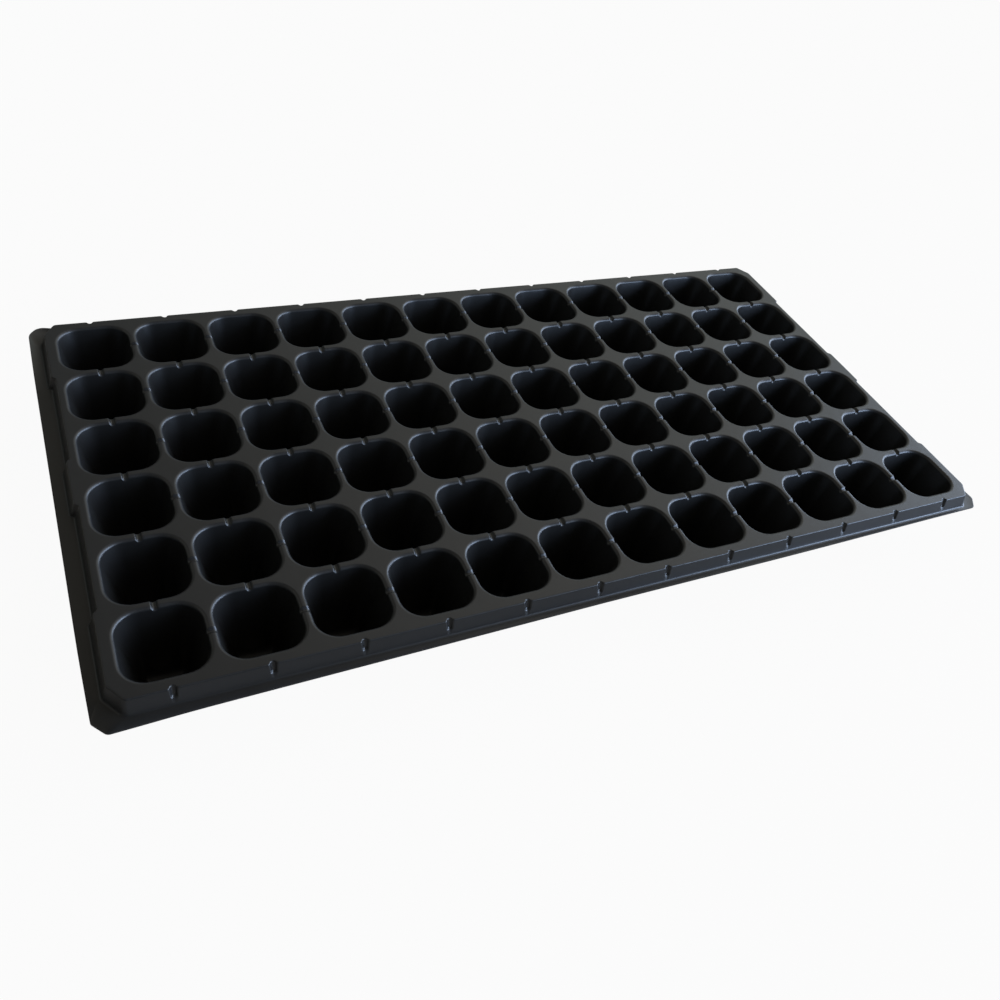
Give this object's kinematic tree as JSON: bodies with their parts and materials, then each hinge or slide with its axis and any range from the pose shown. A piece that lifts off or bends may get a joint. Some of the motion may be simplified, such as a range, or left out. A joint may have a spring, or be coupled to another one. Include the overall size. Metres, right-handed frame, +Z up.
{
  "type": "plug tray",
  "caption": "Rectangular black plug tray: a grid of tapered square cups with drain holes, hung from a flat deck with a short fluted skirt and a flat flange.",
  "frame": {"origin": "middle of the tray in plan, on the plane of the cup floors it stands on", "axes": "+X along the long side, +Y along the short side, +Z up, out of the cups' mouths"},
  "size_m": [0.54, 0.28, 0.042],
  "materials": {
    "tray_plastic": "satin"
  },
  "bodies": {
    "root": {"cup_column_01": "tray_plastic", "cup_column_02": "tray_plastic", "cup_column_03": "tray_plastic", "cup_column_04": "tray_plastic", "cup_column_05": "tray_plastic", "cup_column_06": "tray_plastic", "cup_column_07": "tray_plastic", "cup_column_08": "tray_plastic", "cup_column_09": "tray_plastic", "cup_column_10": "tray_plastic", "cup_column_11": "tray_plastic", "cup_column_12": "tray_plastic", "deck_border_front": "tray_plastic", "deck_border_back": "tray_plastic", "deck_border_left": "tray_plastic", "deck_border_right": "tray_plastic", "skirt_front": "tray_plastic", "skirt_back": "tray_plastic", "skirt_left": "tray_plastic", "skirt_right": "tray_plastic", "flange_front": "tray_plastic", "flange_back": "tray_plastic", "flange_left": "tray_plastic", "flange_right": "tray_plastic"}
  },
  "joints": []
}
